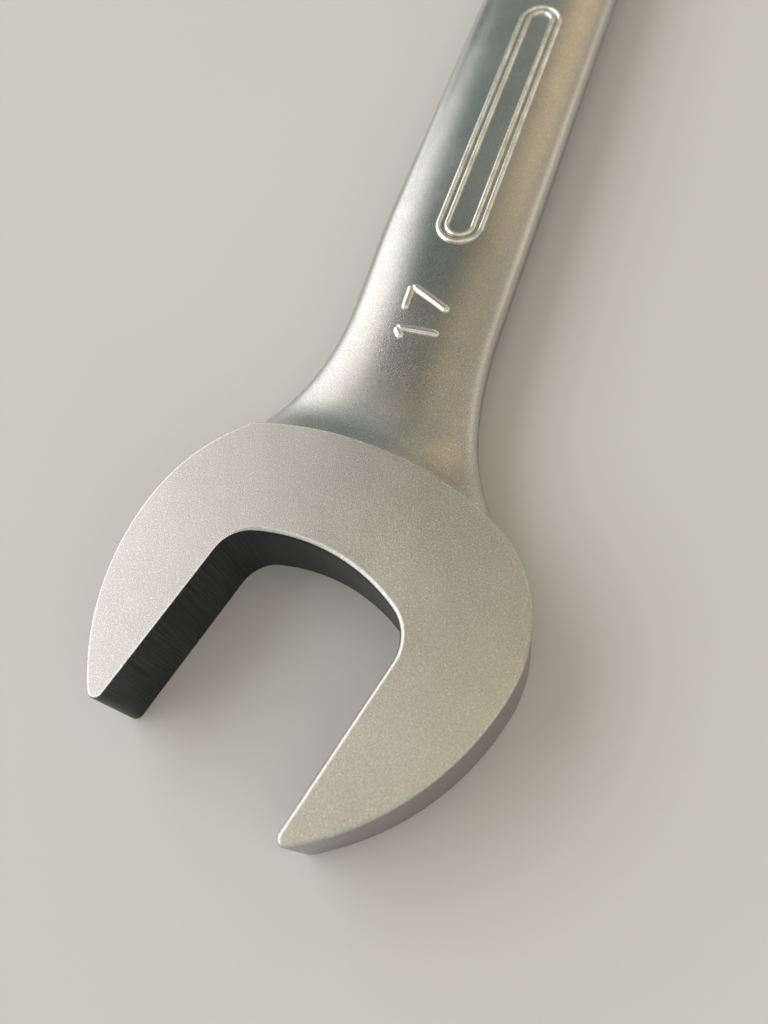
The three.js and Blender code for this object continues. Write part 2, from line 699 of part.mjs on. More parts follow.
const ratchet = new THREE.Group();
ratchet.position.x = RING_X;
ratchet.add(
  piece("ratchet_gear", ratchetGear(), GEAR_STEEL),
  piece("gear_retaining_ring", gearRetainingRing(), SPRING_STEEL),
  piece("pawl", pawl(), GEAR_STEEL, 0, pawlTurn, PAWL.pivotX),
  piece("pawl_pivot_pin", pawlPivotPin(), PLATED_STEEL),
  piece("reversing_lever", reversingLever(), SATIN_CHROME, LEVER.axisX, restTurn),
  piece("lever_seal", leverSeal(), RUBBER, LEVER.axisX),
  piece("lever_retaining_clip", leverRetainingClip(), SPRING_STEEL, LEVER.axisX, restTurn),
  piece("detent_plunger", detentPlunger(), PLATED_STEEL, LEVER.axisX, restTurn),
  piece("detent_spring", detentSpring(), SPRING_STEEL, LEVER.axisX, restTurn),
  piece("cover_plate", coverPlate(), SATIN_CHROME),
);
for (const [name, side] of [["cover_screw_left", 1], ["cover_screw_right", -1]]) {
  const screw = piece(name, coverScrew(), BLACK_OXIDE, COVER.screwX);
  screw.position.y = side * COVER.screwY;
  ratchet.add(screw);
}

const wrench = new THREE.Group();
wrench.add(piece("wrench_body", wrenchBody(), SATIN_CHROME), ratchet);

// The origin goes under the middle of the tool's bounding box.
const box = new THREE.Box3().setFromObject(wrench, true);
const middle = box.getCenter(new THREE.Vector3());
wrench.position.set(-middle.x, -middle.y, -box.min.z);

export default wrench;
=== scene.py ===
"""Looks of a reversible ratcheting combination wrench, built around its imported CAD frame.

Shapes are made in millimetres in the tool's own frame: +x runs along the shank from the open jaw
to the ratchet ring, y = 0 is the shank's centre line and z = 0 is the mid-plane of the forging.
Finished pieces are placed in the row frame, in metres, from the boxes of the CAD nodes.
"""

from math import acos, atan2, ceil, cos, hypot, pi, radians, sin, sqrt

import bpy
import numpy as np
from mathutils import Matrix, Vector


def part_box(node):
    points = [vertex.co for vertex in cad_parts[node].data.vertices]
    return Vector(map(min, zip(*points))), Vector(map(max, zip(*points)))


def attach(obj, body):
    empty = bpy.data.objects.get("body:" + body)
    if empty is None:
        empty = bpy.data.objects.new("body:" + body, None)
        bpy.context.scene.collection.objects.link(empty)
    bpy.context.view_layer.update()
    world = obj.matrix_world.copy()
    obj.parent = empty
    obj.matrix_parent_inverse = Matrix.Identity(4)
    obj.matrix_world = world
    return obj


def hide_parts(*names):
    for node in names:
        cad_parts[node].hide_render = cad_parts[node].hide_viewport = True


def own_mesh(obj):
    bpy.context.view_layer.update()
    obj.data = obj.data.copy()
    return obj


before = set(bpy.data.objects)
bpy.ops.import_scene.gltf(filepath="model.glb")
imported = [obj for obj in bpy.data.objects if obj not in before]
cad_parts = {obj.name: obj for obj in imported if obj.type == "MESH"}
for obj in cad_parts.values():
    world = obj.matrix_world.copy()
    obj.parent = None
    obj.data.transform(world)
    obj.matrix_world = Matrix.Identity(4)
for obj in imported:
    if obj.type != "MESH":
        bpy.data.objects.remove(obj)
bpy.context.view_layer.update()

MM = 0.001
UP = Vector((0, 0, 1))


def box_mm(node):
    """Lowest and highest corner of a CAD node, in millimetres."""
    low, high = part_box(node)
    return np.array(low) / MM, np.array(high) / MM


GEAR_LOW, GEAR_HIGH = box_mm("ratchet_gear")
BODY_LOW, BODY_HIGH = box_mm("wrench_body")
RING_CENTRE = (GEAR_LOW + GEAR_HIGH) / 2

# ---- sizes, in millimetres -----------------------------------------------------------------------
ACROSS_FLATS = 17.1
JAW = {
    "angle": radians(15),  # between the jaw's axis and the shank
    "offset": -1.31,  # the jaw frame's origin lies this far off the shank's centre line
    "half_thickness": 3.9,
    "throat": (-15.93, -0.27, 15.93),  # arc at the back of the opening: u, v and radius
    "left": {"u": -3.16, "v": 16.46, "front": 21.31, "back": 15.15, "corner": 3.2},
    "right": {"u": -2.14, "v": 17.02, "front": 22.82, "back": 11.47, "corner": 3.7},
    "neck": (-20.0, -0.98, 29.85),  # edge of the flat face towards the shank
    "tip_radius": 0.7,
    "edge": 0.25,
    "inner_edge": 0.42,
    "ground_edge": 0.05,  # the left flat is ground after the edges are eased
    "neck_edge": 0.08,  # where the shank's crown rises to the face
}
SHANK = {
    "half_width": 7.27,
    "half_thickness": 2.87,
    "left_flare": [(7.5, 11.9), (10.9, 11.15), (13.45, 7.05), (23.2, 6.75)],
    "right_flare": [(4.85, 13.3), (8.95, 11.45), (10.9, 7.6), (24.7, 7.27)],
    "left_full_width_x": 37.0,
    "shoulder_radius": 8.2,
    "start_x": 5.3,
}
SECTION = {  # the shank's oval: an exponent of 2 is an ellipse, and more is closer to a box
    "exponent": 2.5,
    "more_at_open": 0.5,
    "more_at_ring": 12.0,
    "open_blend": (-1.0, 7.0),  # where the open end's share fades, past its face's edge
    "ring_blend": 16.0,
    "open_bow": 8.0,  # sections follow a face's round edge up to this far from it
    "ring_bow": 10.0,
    "bow_radius": 15.0,  # the tightest bow
    "bow_reach": 14.0,
}
RING = {
    "radius": BODY_HIGH[0] - RING_CENTRE[0],
    "half_thickness": BODY_HIGH[2] - RING_CENTRE[2],
    "bore": 12.75,
    "lip": 11.35,
    "lip_top": -3.85,
    "groove": 13.5,
    "groove_bottom": 3.65,
    "groove_top": 4.55,
    "boss_x": -28.0,  # the boss's straight flanks end here, at this half width
    "boss_half_width": 10.4,
    "face_radius": 30.5,  # edge of the flat face towards the shank, about the gear's axis
    "shoulder_radius": 14.0,
    "flare_x": -56.2,
    "edge": 0.7,
    "mouth_edge": 0.25,  # of the bore and of the lever's recess
}
GEAR = {
    "teeth": 72,
    "tip": 12.6,
    "root": 11.9,
    "hub": 11.25,
    "bottom": -3.7,
    "top": 3.3,
    "lead_in": 10.5,
}
LEVER = {
    "x": -23.3,
    "rest_turn": radians(-20),
    "stem": 3.2,
    "journal": 2.0,
    "journal_bottom": -5.0,
    "journal_top": -3.5,
    "disc": 5.4,
    "disc_bottom": 4.5,
    "tab_bottom": 5.6,
    "tab_top": 7.1,
    "tab_length": 14.0,
    "neck_x": -6.5,
    "neck_half_width": 3.2,
    "end_half_width": 4.0,
    "end_radius": 1.8,
    "recess": 5.6,
    "recess_floor": 4.35,
}
SPRING = {  # along the lever's +x, behind the detent plunger
    "coil": 0.5,
    "wire": 0.15,
    "start": -1.75,
    "end": 2.7,
    "turns": 6,
    "z": -0.6,
    "travel": 0.6,  # the plunger's, from rest to its inner stop
}
COVER = {
    "bottom": -5.15,
    "top": -3.75,
    "front_x": -13.75,
    "half_width": 10.3,
    "shoulder_x": -22.4,
    "rear_radius": 5.2,
    "corner": 1.6,
    "screw_x": -20.7,
    "screw_y": 7.9,
}
SCREW = {
    "head": 2.0,
    "head_depth": 0.95,
    "shank": 1.15,
    "bottom": -5.05,
    "top": -0.4,
    "hole_top": 0.0,
    "socket": 0.8,
}
PIN = {"x": -16.2, "radius": 1.5, "top": 4.2}
CHAMBER = {
    "bottom": -3.7,
    "roof": 2.6,
    "stem": 4.6,
    "corners": [(-9, 8.9), (-15.3, 8.9), (-18.2, 5.6)],  # on one side, from the bore to the stem
}
FIT = 0.1
NUMERAL = {  # raised strokes on the shank's crown
    "one": [(21.35, 0.48), (22.43, 1.32), (22.53, -2.67)],
    "seven": [(24.42, 1.22), (27.19, 1.35), (25.14, -2.76)],
    "width": 0.74,
    "height": 0.26,
    "fullness": 0.7,  # 1 would be a round back, and less is flatter
    "root": -0.3,  # strokes start this far below the surface
}
FINE = 0.002  # chord error of arcs
CLEAR = 1.0  # cutters reach this far past the surfaces they cut
ROUNDS = 30  # enough for lengths that depend on each other to settle


# ---- outlines ------------------------------------------------------------------------------------
def arc(x, y, radius, start, end):
    """Points along an arc, which runs anticlockwise when end is above start."""
    step = 2 * acos(1 - FINE / radius)
    count = max(2, ceil(abs(end - start) / step))
    angles = np.linspace(start, end, count + 1)
    return [(x + radius * cos(a), y + radius * sin(a)) for a in angles]


def without_repeats(points):
    """The outline as an array, without points that repeat their neighbour."""
    p = np.array(points, float)
    return p[np.linalg.norm(np.roll(p, -1, 0) - p, axis=1) > 1e-3]


def mirrored(points):
    return [(x, -y) for x, y in reversed(points)]


def inset(outline, distance):
    """The anticlockwise outline moved inwards by a distance, or by one distance per point."""
    edge = np.roll(outline, -1, 0) - outline
    normal = np.stack([-edge[:, 1], edge[:, 0]], 1) / np.linalg.norm(edge, axis=1)[:, None]
    before = np.roll(normal, 1, 0)
    facing = 1 + (before * normal).sum(1)
    moves = (before + normal) / np.maximum(facing, 0.3)[:, None]
    return outline + np.reshape(distance, (-1, 1)) * moves


def cheek(side, throat, neck):
    """Half of the open head, for v > 0, from the neck round to the mouth and back to the throat."""
    back_v = side["v"] - side["back"]
    front_v = side["v"] - side["front"]
    gap = hypot(neck[0] - side["u"], neck[1] - back_v)
    bearing = pi + atan2(back_v - neck[1], side["u"] - neck[0])
    opening = acos((side["back"] ** 2 + gap**2 - neck[2] ** 2) / (2 * side["back"] * gap))
    meet = bearing - opening
    neck_u = side["u"] + side["back"] * cos(meet)
    neck_v = back_v + side["back"] * sin(meet)
    tip = JAW["tip_radius"]
    tip_v = ACROSS_FLATS / 2 + tip
    tip_u = side["u"] - sqrt((side["front"] - tip) ** 2 - (tip_v - front_v) ** 2)
    tip_angle = atan2(tip_v - front_v, tip_u - side["u"])
    corner = side["corner"]
    corner_v = ACROSS_FLATS / 2 - corner
    corner_u = throat[0] + sqrt((throat[2] - corner) ** 2 - (corner_v - throat[1]) ** 2)
    corner_angle = atan2(corner_v - throat[1], corner_u - throat[0])
    points = [
        *arc(side["u"], back_v, side["back"], meet, pi / 2),
        *arc(side["u"], front_v, side["front"], pi / 2, tip_angle),
        *arc(tip_u, tip_v, tip, tip_angle, 1.5 * pi),
        *arc(corner_u, corner_v, corner, pi / 2, corner_angle),
    ]
    return points, atan2(neck_v - neck[1], neck_u - neck[0]), corner_angle


def flip(circle):
    return circle[0], -circle[1], circle[2]


def from_jaw(points):
    """Points of the jaw's frame in the tool's frame."""
    c, s = cos(JAW["angle"]), sin(JAW["angle"])
    p = np.asarray(points, float)
    return np.stack([p[:, 0] * c + p[:, 1] * s, p[:, 1] * c - p[:, 0] * s + JAW["offset"]], 1)


def open_head_outline():
    left, neck_left, throat_left = cheek(JAW["left"], JAW["throat"], JAW["neck"])
    right, neck_right, throat_right = cheek(JAW["right"], flip(JAW["throat"]), flip(JAW["neck"]))
    throat = arc(*JAW["throat"], throat_left, -throat_right)
    neck = arc(*JAW["neck"], -neck_right, neck_left)
    return from_jaw(without_repeats([*left, *throat, *mirrored(right), *neck]))


HEAD_OUTLINE = open_head_outline()
ORIGIN = np.array([BODY_LOW[0] - HEAD_OUTLINE[:, 0].min(), RING_CENTRE[1], RING_CENTRE[2]])
RING_X = RING_CENTRE[0] - ORIGIN[0]
LEVER_X = RING_X + LEVER["x"]
NECK_CENTRE = from_jaw([JAW["neck"][:2]])[0]
NECK_RADIUS = JAW["neck"][2]

FLANK_END = np.array([RING["boss_x"], RING["boss_half_width"]])
FLANK_ANGLE = atan2(FLANK_END[1], FLANK_END[0]) - acos(
    RING["radius"] / np.linalg.norm(FLANK_END)
)


def ring_head_outline():
    """The ring, and its boss, whose straight flanks run out to the face's round edge."""
    start = RING["radius"] * np.array([cos(FLANK_ANGLE), sin(FLANK_ANGLE)])
    slope = (start[1] - FLANK_END[1]) / (start[0] - FLANK_END[0])
    x = FLANK_END[0]
    for _ in range(ROUNDS):
        y = FLANK_END[1] + slope * (x - FLANK_END[0])
        x = -sqrt(RING["face_radius"] ** 2 - y**2)
    edge = atan2(y, x)
    outline = without_repeats(
        [
            *arc(0, 0, RING["radius"], -FLANK_ANGLE, FLANK_ANGLE),
            *arc(0, 0, RING["face_radius"], edge, 2 * pi - edge),
        ]
    )
    return outline + [RING_X, 0]


def chamber_outline():
    """The pawl's room, from the gear's bore back to the lever's stem."""
    half = [*CHAMBER["corners"], (LEVER["x"], CHAMBER["stem"] - 1)]
    return np.array([*half, *mirrored(half)]) + [RING_X, 0]


def cover_outline(margin):
    """The cover plate, grown by a margin for its recess."""
    corner = COVER["corner"]
    x = COVER["front_x"] + margin - corner
    y = COVER["half_width"] + margin - corner
    rear = COVER["rear_radius"] + margin
    to_rear = (COVER["shoulder_x"] - LEVER["x"], y)
    tangent = atan2(to_rear[1], to_rear[0]) + acos((rear - corner) / hypot(*to_rear))
    half = [
        *arc(x, y, corner, 0, pi / 2),
        *arc(COVER["shoulder_x"], y, corner, pi / 2, tangent),
        *arc(LEVER["x"], 0, rear, tangent, pi),
    ]
    return without_repeats([*half, *mirrored(half)]) + [RING_X, 0]


def twelve_point_outline():
    """Two hexagons turned 30 degrees, with their outer corners eased."""
    inner = ACROSS_FLATS / 2 / cos(radians(15))
    outer = ACROSS_FLATS / 2 / cos(radians(30))
    ease = 0.18  # the outer corners are cut back by this much
    fall = 0.1  # and drop by this much more to either side
    spread = 0.7 * ease / outer
    points = []
    for i in range(24):
        angle = i * radians(15)
        if i % 2:
            points.append((inner * cos(angle), inner * sin(angle)))
            continue
        for shift in (-1, 0, 1):
            r = outer - ease - fall * abs(shift)
            a = angle + shift * spread
            points.append((r * cos(a), r * sin(a)))
    return np.array(points) + [RING_X, 0]


def gear_outline():
    """The ratchet teeth: each a flat tip, a flat root and two flanks."""
    pitch = 2 * pi / GEAR["teeth"]
    root, tip = GEAR["root"], GEAR["tip"]
    tooth = [(root, -0.38), (tip, -0.12), (tip, 0.12), (root, 0.38)]  # radius, share of the pitch
    points = []
    for i in range(GEAR["teeth"]):
        for r, share in tooth:
            angle = (i + share) * pitch
            points.append((r * cos(angle), r * sin(angle)))
    return np.array(points) + [RING_X, 0]


# ---- meshes --------------------------------------------------------------------------------------
def new_object(name, data):
    """A new object in the scene."""
    made = bpy.data.objects.new(name, data)
    bpy.context.scene.collection.objects.link(made)
    return made


def mesh_object(name, points, faces):
    """A new object whose mesh is in the tool's frame, in millimetres."""
    mesh = bpy.data.meshes.new(name)
    mesh.from_pydata([tuple(p) for p in np.asarray(points, float)], [], faces)
    mesh.validate()
    return new_object(name, mesh)


def strip_faces(rings, count, closed=False):
    """Quads between rings of count points, which turn anticlockwise seen from the last ring."""
    last = rings if closed else rings - 1
    faces = []
    for k in range(last):
        low, high = k * count, (k + 1) % rings * count
        for i in range(count):
            after = (i + 1) % count
            faces.append((low + i, low + after, high + after, high + i))
    return faces


def stacked(name, rings):
    """A closed solid from rings of points, from the lowest to the highest, with flat ends."""
    count = len(rings[0])
    faces = strip_faces(len(rings), count)
    top = (len(rings) - 1) * count
    faces += [tuple(reversed(range(count))), tuple(top + i for i in range(count))]
    return mesh_object(name, np.concatenate(rings), faces)


def prism(outline, low, high, low_edge=0.0, high_edge=0.0, steps=5):
    """A solid over an outline. Each edge is rounded to one radius, or to one per point."""
    rings = []
    for level, radius, side in ((low, low_edge, -1), (high, high_edge, 1)):
        turns = np.linspace(0, pi / 2, steps + 1) if np.any(radius) else [0.0]
        made = []
        for t in turns:
            flat = inset(outline, radius * (1 - cos(t)))
            z = level - side * radius * (1 - sin(t))
            made.append(np.column_stack([flat, z * np.ones(len(flat))]))
        rings += made[::-1] if side < 0 else made
    return stacked("prism", rings)


def lathe(profile, x=0.0, y=0.0, sides=144, closed=False):
    """A profile of (radius, z) turned about a vertical axis, at x and y from the gear's axis."""
    angles = np.linspace(0, 2 * pi, sides, endpoint=False)
    around = np.stack([np.cos(angles), np.sin(angles)], 1)
    centre = np.array([RING_X + x, y])
    rings = [np.column_stack([centre + r * around, np.full(sides, z)]) for r, z in profile]
    if closed:
        return mesh_object("lathe", np.concatenate(rings), strip_faces(len(rings), sides, True))
    return stacked("lathe", rings)


def cylinder(radius, low, high, x=0.0, y=0.0, sides=96):
    return lathe([(radius, low), (radius, high)], x, y, sides)


def combine(target, others, operation):
    """Joins the others to the target, or cuts them from it."""
    for other in others:
        modifier = target.modifiers.new("combine", "BOOLEAN")
        modifier.solver = "MANIFOLD"
        modifier.operation = operation
        modifier.object = other
    graph = bpy.context.evaluated_depsgraph_get()
    target.data = bpy.data.meshes.new_from_object(target.evaluated_get(graph))
    target.modifiers.clear()
    for other in others:
        bpy.data.objects.remove(other)
    return target


def turned(made, angle, x):
    """The object turned about a vertical axis at x from the gear's axis."""
    axis = Matrix.Translation((RING_X + x, 0, 0))
    made.data.transform(axis @ Matrix.Rotation(angle, 4, "Z") @ axis.inverted())
    return made


def smooth(made, angle=32):
    """Smooth shading that stays flat on flat faces and breaks at edges sharper than the angle."""
    made.data.shade_smooth()
    made.data.set_sharp_from_angle(angle=radians(angle))
    weighted = made.modifiers.new("weighted_normals", "WEIGHTED_NORMAL")
    weighted.keep_sharp = True
    weighted.weight = 90


def place(made, name, node, body, materials):
    """Puts a finished piece in the row frame, in metres, in place of its CAD node."""
    made.name = name
    made.data.name = name
    made.data.transform(Matrix.Scale(MM, 4) @ Matrix.Translation(ORIGIN))
    indices = [face.material_index for face in made.data.polygons]
    made.data.materials.clear()
    for material in materials:
        made.data.materials.append(material)
    made.data.polygons.foreach_set("material_index", indices)
    smooth(made)
    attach(made, body)
    if node:
        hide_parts(node)
    return made


# ---- the forging's long loft ---------------------------------------------------------------------
def bezier_table(points, count=400):
    """x and y along a cubic Bezier curve."""
    t = np.linspace(0, 1, count)[:, None]
    a, b, c, d = np.array(points, float)
    made = a * (1 - t) ** 3 + 3 * b * t * (1 - t) ** 2 + 3 * c * t**2 * (1 - t) + d * t**3
    return made[:, 0], made[:, 1]


def smoothstep(value, low, high):
    t = np.clip((value - low) / (high - low), 0, 1)
    return t * t * (3 - 2 * t)


LEFT_FLARE = bezier_table(SHANK["left_flare"])
RIGHT_FLARE = bezier_table(SHANK["right_flare"])
FACE_EDGE_X = NECK_CENTRE[0] + NECK_RADIUS  # the open head's face ends here, towards the shank
RING_EDGE_X = RING_X - RING["face_radius"]


def ring_side_width(x):
    reach = np.clip((x - RING_X - RING["flare_x"]) / (RING["boss_x"] - RING["flare_x"]), 0, 1)
    return SHANK["half_width"] + (RING["boss_half_width"] - SHANK["half_width"]) * reach**2


def left_width(x):
    """Half width on the left, which is slimmer just behind the neck."""
    flare_end, start = LEFT_FLARE[0][-1], LEFT_FLARE[1][-1]
    slimness = 1 - smoothstep(x, flare_end, SHANK["left_full_width_x"])
    narrower = (SHANK["half_width"] - start) * slimness
    return np.where(x < flare_end, np.interp(x, *LEFT_FLARE), ring_side_width(x) - narrower)


def right_width(x):
    return np.where(x < RIGHT_FLARE[0][-1], np.interp(x, *RIGHT_FLARE), ring_side_width(x))


def shoulder(distance, radius, drop):
    """Height gained over a hollow round shoulder that ends after rising by drop."""
    foot = sqrt(2 * radius * drop - drop**2)
    d = np.clip(foot - distance, 0, foot)
    return radius - np.sqrt(radius**2 - d**2)


def crown(x):
    """Half thickness of the shank on its centre line."""
    open_drop = JAW["half_thickness"] - JAW["neck_edge"] - SHANK["half_thickness"]
    ring_drop = RING["half_thickness"] - RING["edge"] - SHANK["half_thickness"]
    open_rise = shoulder(x - FACE_EDGE_X, SHANK["shoulder_radius"], open_drop)
    ring_rise = shoulder(RING_EDGE_X - x, RING["shoulder_radius"], ring_drop)
    return SHANK["half_thickness"] + open_rise + ring_rise


def squareness(x):
    """Exponent of the oval section."""
    fade_start, fade_end = SECTION["open_blend"]
    to_open = 1 - smoothstep(x, FACE_EDGE_X + fade_start, FACE_EDGE_X + fade_end)
    to_ring = smoothstep(x, RING_EDGE_X - SECTION["ring_blend"], RING_EDGE_X)
    at_open = SECTION["exponent"] + SECTION["more_at_open"] * to_open**2
    return at_open + SECTION["more_at_ring"] * to_ring**2


def sag(radius, y):
    """How far a circle across the shank falls back at y from its middle."""
    radius = np.maximum(radius, SECTION["bow_radius"])
    return radius - np.sqrt(radius**2 - np.minimum(np.abs(y), SECTION["bow_reach"]) ** 2)


def section_x(station, y):
    """Sections bow along the edges of the two flat faces, and are plain across the shank."""
    near_open = 1 - smoothstep(station, FACE_EDGE_X, FACE_EDGE_X + SECTION["open_bow"])
    near_ring = smoothstep(station, RING_EDGE_X - SECTION["ring_bow"], RING_EDGE_X)
    open_sag = sag(station - NECK_CENTRE[0], y - NECK_CENTRE[1])
    ring_sag = sag(RING_X - station, y)
    return station - near_open * open_sag + near_ring * ring_sag


def shank_height(x, y):
    """Height of the shank's upper surface above the mid-plane, away from its ends."""
    half = np.where(y > 0, left_width(x), right_width(x))
    n = squareness(x)
    return crown(x) * (1 - np.minimum(np.abs(y) / half, 1) ** n) ** (1 / n)


def shank_loft():
    """The shank and both its flares, from inside the open head to inside the ring head."""
    open_flare_end, plain_start = 24, 44
    plain_end, ring_flare_start = RING_X - 60, RING_X - 44
    end_x = RING_X - 20
    runs = [  # start, end and spacing of the stations, which are closest at the flares
        (SHANK["start_x"], open_flare_end, 0.35),
        (open_flare_end, plain_start, 1.0),
        (plain_start, plain_end, 4.0),
        (plain_end, ring_flare_start, 1.0),
        (ring_flare_start, end_x + 0.1, 0.5),
    ]
    stations = np.concatenate([np.arange(*run) for run in runs])
    points_across = 73
    across = np.sin(np.linspace(-pi / 2, pi / 2, points_across))
    rings = []
    for station in stations:
        sides = []
        for side, width in ((1, left_width), (-1, right_width)):
            y = side * width(station)
            for _ in range(ROUNDS):
                y = side * width(section_x(station, y))
            sides.append(abs(float(y)))
        y = np.where(across > 0, sides[0], sides[1]) * across
        n = squareness(station)
        z = crown(station) * (1 - np.abs(across) ** n) ** (1 / n)
        x = section_x(station, y)
        upper = np.column_stack([x, y, z])
        lower = np.column_stack([x, y, -z])[1:-1][::-1]
        rings.append(np.concatenate([upper, lower])[::-1])
    return stacked("loft", rings)


# ---- pieces --------------------------------------------------------------------------------------
def jaw_coordinates(points):
    """u and v, in the jaw's frame, of points in the tool's frame."""
    c, s = cos(JAW["angle"]), sin(JAW["angle"])
    x, y = points[:, 0], points[:, 1] - JAW["offset"]
    return x * c - y * s, x * s + y * c


def head_edge():
    """Edge radius at each point of the open head: widest inside, but crisp at the left flat."""
    u, v = jaw_coordinates(HEAD_OUTLINE)
    flat = ACROSS_FLATS / 2
    round_tip = smoothstep(np.abs(v), flat, flat + JAW["tip_radius"])
    outside = np.where(u > 1, 1, round_tip)  # u is 0 at the back of the opening
    ground_fade, neck_fade = 2, 1.5
    ground = smoothstep(v, flat - ground_fade, flat)
    inner = JAW["inner_edge"] + (JAW["ground_edge"] - JAW["inner_edge"]) * ground
    edge = inner + (JAW["edge"] - inner) * outside
    x, y = HEAD_OUTLINE.T
    off_arc = np.hypot(x - NECK_CENTRE[0], y - NECK_CENTRE[1]) - NECK_RADIUS
    at_neck = np.abs(off_arc) < 0.01
    width = np.where(y > 0, left_width(x), right_width(x))
    joined = at_neck * (1 - smoothstep(np.abs(y) - width, -neck_fade, 0))
    return edge + (JAW["neck_edge"] - edge) * joined


def eased_mouth(radius, level, ease):
    """The top of a cutter's profile, which opens out at a level where it leaves the solid."""
    wide = radius + ease
    return [(radius, level - ease), (wide, level), (wide + CLEAR, level + CLEAR)]


def upside_down(profile):
    return [(radius, -z) for radius, z in reversed(profile)]


def wrench_body(materials):
    """The forging: open head, shank and ring head, with the ratchet's rooms cut out."""
    thick, edge = JAW["half_thickness"], head_edge()
    ring_half, ring_edge = RING["half_thickness"], RING["edge"]
    body = prism(HEAD_OUTLINE, -thick, thick, edge, edge)
    ring_head = prism(ring_head_outline(), -ring_half, ring_half, ring_edge, ring_edge, steps=8)
    combine(body, [shank_loft(), ring_head], "UNION")
    high = ring_half + CLEAR
    ease = RING["mouth_edge"]
    bore = lathe(
        [
            *upside_down(eased_mouth(RING["lip"], ring_half, ease)),
            (RING["lip"], RING["lip_top"]),
            (RING["bore"], RING["lip_top"]),
            (RING["bore"], RING["groove_bottom"]),
            (RING["groove"], RING["groove_bottom"]),
            (RING["groove"], RING["groove_top"]),
            (RING["bore"], RING["groove_top"]),
            *eased_mouth(RING["bore"], ring_half, ease),
        ],
        sides=256,
    )
    recess = lathe(
        [
            (LEVER["stem"] + FIT, 0),
            (LEVER["stem"] + FIT, LEVER["recess_floor"]),
            (LEVER["recess"], LEVER["recess_floor"]),
            *eased_mouth(LEVER["recess"], ring_half, ease),
        ],
        LEVER["x"],
    )
    cutters = [
        bore,
        recess,
        prism(chamber_outline(), CHAMBER["bottom"], CHAMBER["roof"]),
        cylinder(CHAMBER["stem"], CHAMBER["bottom"], CHAMBER["roof"], LEVER["x"]),
        prism(cover_outline(FIT), -high, CHAMBER["bottom"]),
        cylinder(PIN["radius"] + FIT, 0, PIN["top"] + FIT, PIN["x"]),
    ]
    for side in (1, -1):
        y = side * COVER["screw_y"]
        hole = cylinder(SCREW["shank"] + FIT, -high, SCREW["hole_top"], COVER["screw_x"], y)
        cutters.append(hole)
    combine(body, cutters, "DIFFERENCE")
    assign_jaw_walls(body)
    return place(body, "forged_body", "wrench_body", "wrench", materials)


def assign_jaw_walls(body):
    """Gives the ground walls of the jaw's opening, and the left cheek's tip, their own material."""
    centres = np.array([face.center[:2] for face in body.data.polygons])
    u, v = jaw_coordinates(centres)
    flat = ACROSS_FLATS / 2
    flat_slack, throat_slack, tip_start = 0.03, 0.05, -15
    on_tip = (v > 0) & (v < flat + JAW["tip_radius"]) & (u < tip_start)
    inside = ((np.abs(v) < flat + flat_slack) | on_tip) & (u < throat_slack)
    for face, within in zip(body.data.polygons, inside):
        upright = abs(face.normal.z) < 0.5
        face.material_index = 1 if within and upright else 0


def stroke(path, width=NUMERAL["width"], closed=False):
    """A raised round ridge along a path on the shank's crown. An open one has rounded ends."""
    half = width / 2
    p = np.array(path, float)
    ahead = np.roll(p, -1, 0) - np.roll(p, 1, 0)
    widths = np.ones(len(p))
    if not closed:
        ahead[0], ahead[-1] = p[1] - p[0], p[-1] - p[-2]
        steps = np.linalg.norm(np.diff(p, axis=0), axis=1)
        length = np.concatenate([[0], np.cumsum(steps)])
        near = np.minimum(np.minimum(length, length[-1] - length) / half, 1)
        narrowest = 0.02
        widths = np.sqrt(np.maximum(1 - (1 - near) ** 2, narrowest))
    side = np.stack([-ahead[:, 1], ahead[:, 0]], 1) / np.linalg.norm(ahead, axis=1)[:, None]
    root, height, fullness = NUMERAL["root"], NUMERAL["height"], NUMERAL["fullness"]
    angles = np.linspace(0, pi, 9)
    ridge = [(-cos(a), height * sin(a) ** fullness) for a in angles]
    section = [(-1.0, root), *ridge, (1.0, root)]
    rings = []
    for point, towards, share in zip(p, side, widths):
        flat = np.array([point + towards * across * half * share for across, _ in section])
        lift = np.array([z * (share if z > 0 else 1) for _, z in section])
        rings.append(np.column_stack([flat, shank_height(flat[:, 0], flat[:, 1]) + lift]))
    if closed:
        faces = strip_faces(len(rings), len(section), True)
        return mesh_object("stroke", np.concatenate(rings), faces)
    return stacked("stroke", rings)


def line(start, end, count=24):
    """Points from start to end that are closer together near both ends."""
    shares = (1 - np.cos(np.linspace(0, pi, count))) / 2
    run, rise = end[0] - start[0], end[1] - start[1]
    return [(start[0] + run * t, start[1] + rise * t) for t in shares]


def size_numerals(materials):
    """The raised size number, 17, and a plain raised frame further up the shank."""
    strokes = []
    for corners in (NUMERAL["one"], NUMERAL["seven"]):
        strokes += [stroke(line(start, end)) for start, end in zip(corners, corners[1:])]
    near_x, far_x, y = 35.0, 64.1, -0.77
    half_height, gap, frame_width = 2.05, 0.8, 0.5
    length = far_x - near_x
    turn = pi / 2
    straight = np.linspace(0, 1, 40)[1:-1]
    for shrink in (0.0, gap):
        radius = half_height - shrink
        path = [
            *arc(far_x, y, radius, -turn, turn),
            *[(far_x - length * t, y + radius) for t in straight],
            *arc(near_x, y, radius, turn, 3 * turn),
            *[(near_x + length * t, y - radius) for t in straight],
        ]
        strokes.append(stroke(path, frame_width, closed=True))
    made = combine(strokes[0], strokes[1:], "UNION")
    return place(made, "size_numerals", None, "wrench", materials)


